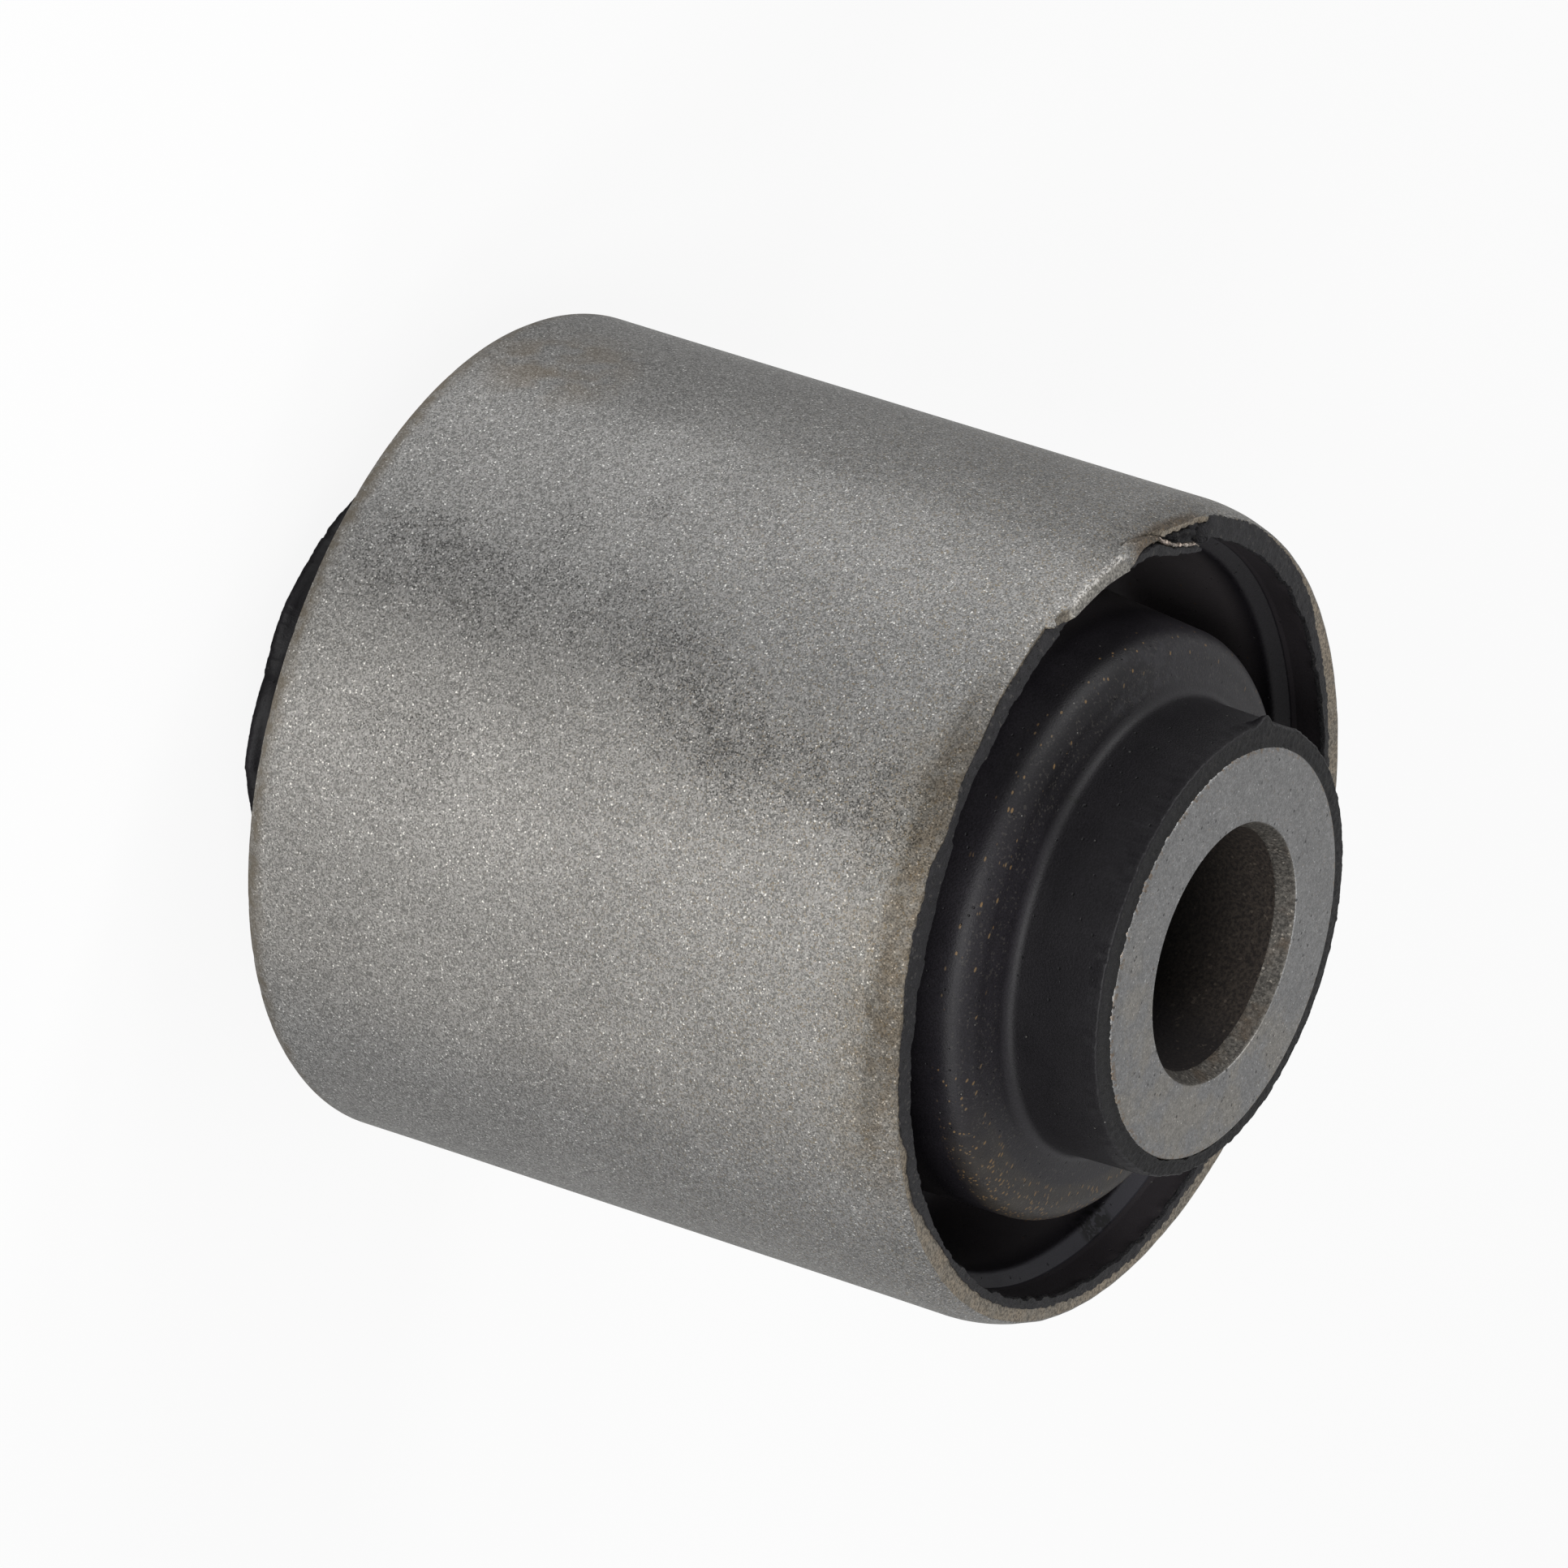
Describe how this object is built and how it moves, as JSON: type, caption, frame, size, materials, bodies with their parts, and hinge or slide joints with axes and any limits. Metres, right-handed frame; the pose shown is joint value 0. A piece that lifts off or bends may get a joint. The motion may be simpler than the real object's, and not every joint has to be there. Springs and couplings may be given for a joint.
{
  "type": "rubber metal bush",
  "caption": "Bonded suspension bush: a thick steel inner sleeve held in a thin steel outer sleeve by moulded rubber with a ring groove at each end.",
  "frame": {"origin": "middle of the rear end face of the inner sleeve, on the bore axis, where the bush stands", "axes": "+Z along the bore, towards the front end that the picture shows"},
  "size_m": [0.048, 0.048, 0.0566],
  "materials": {
    "sleeve_steel": "blasted and phosphated steel, fine bright grain, faint brown tint at the ends",
    "inner_steel": "turned steel end faces, darker and slightly rusty bore",
    "rubber": "moulded black rubber, satin, with fine rust-coloured specks"
  },
  "bodies": {
    "root": {"outer_sleeve": "sleeve_steel", "inner_sleeve": "inner_steel", "rubber_body": "rubber"}
  },
  "joints": []
}
